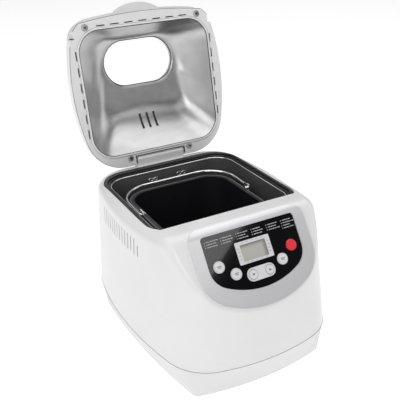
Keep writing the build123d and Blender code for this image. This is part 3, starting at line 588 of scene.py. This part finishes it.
def key_marks():
    """A fine ring and a small mark on each key, moving with it."""
    for name in ("menu_key", "weight_key", "crust_key"):
        x, y = key_place(name + "_press")
        marks = [rounded(x, y + 0.9 * MM, 6.0 * MM, 0.9 * MM, 0.3 * MM, 2)]
        marks.append(rounded(x, y - 0.9 * MM, 4.6 * MM, 0.9 * MM, 0.3 * MM, 2))
        plates(name + "_mark", marks, PANEL, KEY_TOP, KEY_TOP + PRINT, name, "key_white", mark_grey)
        key_ring(name, x, y, 6.2 * MM, 0.16 * MM, print_grey)
    for name, sign in (("time_down_key", -1), ("time_up_key", 1)):
        x, y = key_place(name + "_press")
        foot = y - sign * 1.3 * MM
        arrow = [(x - 2.0 * MM, foot), (x + 2.0 * MM, foot), (x, y + sign * 1.7 * MM)]
        plates(name + "_arrow", [arrow if sign > 0 else arrow[::-1]], PANEL, KEY_TOP, KEY_TOP + PRINT, name,
               "key_white", mark_grey)
        key_ring(name, x, y, 5.9 * MM, 0.18 * MM, mark_grey)


key_marks()


# ---- lid details, placed on the closed lid and then opened


def lid_beads():
    """The liner's raised bead round the reflector, with painted shade lines: a grey line for a fine groove outside
    the bead and dark lines for the shadow along the liner's seams.
    """
    w, d, r = DISH
    bead = rounded(0, DISH_Y, w + 2.6 * MM, d + 2.6 * MM, r + 1.3 * MM, 10)
    tube("liner_bead", lifted(bead, LID, LINER_Z), 1.2 * MM, "lid", "white_plastic")
    line = [p for p in outline_at("lid_liner", LINER_Z + 2 * MM, LID) if p[1] > LIP_Y + 2 * MM]
    line.sort(key=lambda p: math.atan2(p[1] - LIP_Y, p[0]))
    tube("lid_seam", lifted(line, LID, LINER_Z + 2 * MM), 0.45 * MM, "lid", "white_plastic", closed=False,
         material=moulded("lid_seam_shadow", (0.12, 0.12, 0.12), 0.6))
    # painted shade: a grey line along the liner's front edge stands in for the shadow gap there
    line = [p for p in outline_at("lid_liner", LINER_Z, LID) if p[1] < LIP_Y]
    tube("lid_skirt_shadow_line", lifted(sorted(line), LID, LINER_Z + 0.4 * MM), 0.5 * MM, "lid", "white_plastic",
         closed=False, material=FINISHES["seal_grey"])
    # painted shade: the groove's shadow is drawn as a thin grey line in the print colour
    groove = rounded(0, DISH_Y, w + 6.4 * MM, d + 6.4 * MM, r + 3.2 * MM, 10)
    tube("liner_groove_shade", lifted(groove, LID, LINER_Z + 0.15 * MM), 0.35 * MM, "lid", "white_plastic",
         material=print_grey)


lid_beads()


def lid_fixings():
    """A dark socket and a fine ring at each lid screw, and the shadow gap round the hinge tower."""
    head = LINER_Z - SCREW_HEAD
    sockets = []
    for i, (x, y) in enumerate(LID_SCREWS):
        x, y = x * MM, y * MM
        sockets.append([(x + 1.5 * MM * c, y + 1.5 * MM * s) for c, s in circle(24)])
        ring = [(x + 4.6 * MM * c, y + 4.6 * MM * s) for c, s in circle(24)]
        tube(f"lid_screw_ring_{i}", lifted(ring, LID, LINER_Z), 0.35 * MM, "lid", "white_plastic",
             material=FINISHES["seal_grey"])
    plates("lid_screw_sockets", sockets, LID, head - PRINT, head, "lid", "steel", FINISHES["black_plastic"])
    gap = [(-NOTCH_HALF, NOTCH_BACK), (-NOTCH_HALF, NOTCH_EDGE), (NOTCH_HALF, NOTCH_EDGE),
           (NOTCH_HALF, NOTCH_BACK)]
    tube("hinge_gap_shadow", lifted(gap, LID, LINER_Z + 0.4 * MM), 0.9 * MM, "lid", "black_plastic",
         closed=False)


lid_fixings()


def bowl_depth(inward, reach=BOWL_REACH):
    """Depth of the reflector at a distance in from its mouth: a steep wall that eases into the flat."""
    return DISH_DEPTH * (1 - max(0, 1 - inward / reach) ** BOWL_EASE)


def even_outline(x, y, w, d, r, count=120):
    """A rounded rectangle as points at equal angles round its middle."""
    a, b = w / 2 - r, d / 2 - r
    points = []
    for i in range(count):
        angle = math.tau * i / count
        c, s = math.cos(angle), math.sin(angle)
        low_t, high_t = 0.0, w + d
        for _ in range(40):
            t = (low_t + high_t) / 2
            over = math.hypot(max(0, abs(c * t) - a), max(0, abs(s * t) - b)) > r
            low_t, high_t = (low_t, t) if over else (t, high_t)
        points.append(Vector((x + c * low_t, y + s * low_t)))
    return points


def bowl_mesh(mouth, window, rings=28):
    """A smooth sheet from the reflector's mouth to the window's edge, on the opened lid."""
    mesh = bmesh.new()
    rows = []
    for k in range(rings + 1):
        share = (k / rings) ** 1.5
        row = []
        for start, end in zip(mouth, window):
            spot = start.lerp(end, share)
            reach = min(BOWL_REACH, (end - start).length)
            row.append(mesh.verts.new((spot.x, spot.y, LINER_Z + bowl_depth((spot - start).length, reach))))
        rows.append(row)
    count = len(mouth)
    for first, second in zip(rows, rows[1:]):
        for i in range(count):
            j = (i + 1) % count
            mesh.faces.new((first[i], first[j], second[j], second[i]))
    bmesh.ops.recalc_face_normals(mesh, faces=mesh.faces)
    mesh.transform(LID)
    for face in mesh.faces:
        face.smooth = True
    data = bpy.data.meshes.new("reflector_bowl")
    mesh.to_mesh(data)
    mesh.free()
    return data


def pressed_bowl():
    """The reflector as one smooth pressing, with painted shadow lines along its edges and black bars of painted
    shade for its air slots.
    """
    mouth = even_outline(0, DISH_Y, *DISH)
    window = even_outline(0, WINDOW_Y, *WINDOW)
    piece = bpy.data.objects.new("reflector_bowl", bowl_mesh(mouth, window))
    bpy.context.scene.collection.objects.link(piece)
    sheet = piece.modifiers.new("sheet", "SOLIDIFY")
    sheet.thickness = 0.7 * MM
    sheet.offset = 0
    satin = metal("satin_aluminium", (0.58, 0.58, 0.58), 0.33, stretch=(1, 2, 2), depth=0.003 * MM,
                  scale=900)
    settle(piece, "lid", "aluminium", satin)
    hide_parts("lid_dish")
    mouth_line = [LID @ Vector((p.x, p.y, LINER_Z + 0.8 * MM)) for p in mouth]
    tube("reflector_edge_shadow", mouth_line, 1.0 * MM, "lid", "seal_grey",
         material=moulded("edge_shadow", (0.06, 0.06, 0.06), 0.5))
    window_line = [LID @ Vector((p.x, p.y, LINER_Z + DISH_DEPTH)) for p in window]
    tube("window_edge_shadow", window_line, 0.6 * MM, "lid", "seal_grey", material=FINISHES["black_plastic"])
    # painted shade: each air slot is a black bar on the reflector, standing for the shadow inside the opening
    steps = 12
    for i, x in enumerate(DISH_SLOTS):
        line = []
        for step in range(steps + 1):
            y = (SLOT_START + SLOT_LENGTH * step / steps) * MM
            line.append(LID @ Vector((x, y, LINER_Z + bowl_depth(DISH_Y + DISH[1] / 2 - y))))
        tube(f"reflector_slot_shadow_{i}", line, 1.9 * MM, "lid", "black_plastic", closed=False)


pressed_bowl()


# ---- studio


def make_camera():
    """The camera, in front of the body to its left and above."""
    data = bpy.data.cameras.new("camera")
    data.sensor_width = 36
    data.lens = CAMERA_LENS
    data.clip_start = 0.01
    level = math.cos(CAMERA_PITCH)
    view = Vector((math.sin(CAMERA_YAW) * level, math.cos(CAMERA_YAW) * level, -math.sin(CAMERA_PITCH)))
    right = Vector((math.cos(CAMERA_YAW), -math.sin(CAMERA_YAW), 0))
    up = right.cross(view)
    right_rolled = right * math.cos(CAMERA_ROLL) + up * math.sin(CAMERA_ROLL)
    up_rolled = up * math.cos(CAMERA_ROLL) - right * math.sin(CAMERA_ROLL)
    turned = Matrix((right_rolled, up_rolled, -view)).transposed().to_4x4()
    camera = bpy.data.objects.new("camera", data)
    camera.matrix_world = Matrix.Translation(CAMERA_AT) @ turned
    bpy.context.scene.collection.objects.link(camera)
    bpy.context.scene.camera = camera


def make_floor():
    """A plain white floor."""
    mesh = bmesh.new()
    bmesh.ops.create_grid(mesh, x_segments=4, y_segments=4, size=6)
    data = bpy.data.meshes.new("floor")
    mesh.to_mesh(data)
    mesh.free()
    floor = bpy.data.objects.new("floor", data)
    bpy.context.scene.collection.objects.link(floor)
    made = new_material("floor_white", (0.45, 0.45, 0.45), 0.6, Emission_Color=(1, 1, 1, 1),
                        Emission_Strength=0.78)
    vary_colour(made, (0.44, 0.44, 0.44), (0.46, 0.46, 0.46), scale=2)
    data.materials.append(made)


def softbox(name, place, aim, size, power):
    """A rectangular light pointing at a spot."""
    data = bpy.data.lights.new(name, "AREA")
    data.shape = "RECTANGLE"
    data.size, data.size_y = size
    data.energy = power
    light = bpy.data.objects.new(name, data)
    light.location = place
    light.rotation_euler = (Vector(aim) - Vector(place)).to_track_quat("-Z", "Y").to_euler()
    bpy.context.scene.collection.objects.link(light)
    return light


def make_world():
    """White backdrop for the eye, and for the light a soft grey dome, darkest where the panel faces."""
    world = bpy.data.worlds.new("studio")
    world.use_nodes = True
    bpy.context.scene.world = world
    tree = world.node_tree
    dome = tree.nodes["Background"]
    dome.inputs["Strength"].default_value = DOME
    source = tree.nodes.new("ShaderNodeTexCoord")
    facing = tree.nodes.new("ShaderNodeVectorMath")
    facing.operation = "DOT_PRODUCT"
    facing.inputs[1].default_value = PANEL_SEES
    tree.links.new(source.outputs["Generated"], facing.inputs[0])
    ramp = tree.nodes.new("ShaderNodeValToRGB")
    ramp.color_ramp.interpolation = "EASE"
    ramp.color_ramp.elements[0].position = 0.62
    ramp.color_ramp.elements[0].color = (1, 1, 1, 1)
    ramp.color_ramp.elements[1].position = 0.9
    ramp.color_ramp.elements[1].color = (0.10, 0.10, 0.10, 1)
    tree.links.new(facing.outputs["Value"], ramp.inputs["Fac"])
    tree.links.new(ramp.outputs["Color"], dome.inputs["Color"])
    white = tree.nodes.new("ShaderNodeBackground")
    white.inputs["Color"].default_value = (1, 1, 1, 1)
    white.inputs["Strength"].default_value = BACKDROP
    path = tree.nodes.new("ShaderNodeLightPath")
    either = tree.nodes.new("ShaderNodeMath")
    either.operation = "MAXIMUM"
    tree.links.new(path.outputs["Is Camera Ray"], either.inputs[0])
    tree.links.new(path.outputs["Is Transmission Ray"], either.inputs[1])
    mix = tree.nodes.new("ShaderNodeMixShader")
    tree.links.new(either.outputs["Value"], mix.inputs["Fac"])
    tree.links.new(dome.outputs["Background"], mix.inputs[1])
    tree.links.new(white.outputs["Background"], mix.inputs[2])
    tree.links.new(mix.outputs["Shader"], tree.nodes["World Output"].inputs["Surface"])


def mirrored_spot(x, y, distance):
    """Where the camera, looking at a spot on the panel, sees by reflection at a distance."""
    spot = PANEL @ Vector((x * MM, y * MM, 0))
    incoming = (spot - CAMERA_AT).normalized()
    outgoing = incoming - 2 * incoming.dot(PANEL_OUT) * PANEL_OUT
    return spot + outgoing * distance, outgoing


def window_light():
    """A tall soft light whose reflection crosses the overlay's upper left corner."""
    top, aim = mirrored_spot(*GLARE_TOP, GLARE_DISTANCE)
    bottom = mirrored_spot(*GLARE_BOTTOM, GLARE_DISTANCE)[0]
    beyond = mirrored_spot(*GLARE_SIDE, GLARE_DISTANCE)[0]
    along = (bottom - top).normalized()
    across = (beyond - top) - (beyond - top).dot(along) * along
    across.normalize()
    data = bpy.data.lights.new("window_light", "AREA")
    data.shape = "RECTANGLE"
    data.size, data.size_y = GLARE_SIZE
    data.energy = GLARE_POWER
    light = bpy.data.objects.new("window_light", data)
    out = along.cross(across).normalized()
    if out.dot(aim) < 0:
        along, out = -along, -out
    middle = (top + bottom) / 2 + across * GLARE_SIZE[0] / 2
    light.matrix_world = Matrix.Translation(middle) @ Matrix((across, along, out)).transposed().to_4x4()
    bpy.context.scene.collection.objects.link(light)


make_camera()
make_floor()
make_world()
window_light()
softbox("overhead", (0.1, 0.2, 2.4), (0, 0, 0.1), (2.8, 2.8), 36)
softbox("key", (-1.6, -0.9, 1.4), (0, -0.05, 0.15), (1.4, 1.4), 9)
softbox("right", (1.9, -0.8, 1.0), (0, -0.1, 0.15), (1.2, 1.2), 5)
softbox("front", (-0.9, -2.2, 1.2), (0, 0.15, 0.35), (1.0, 1.0), 9)
bpy.context.scene.view_settings.view_transform = "Standard"
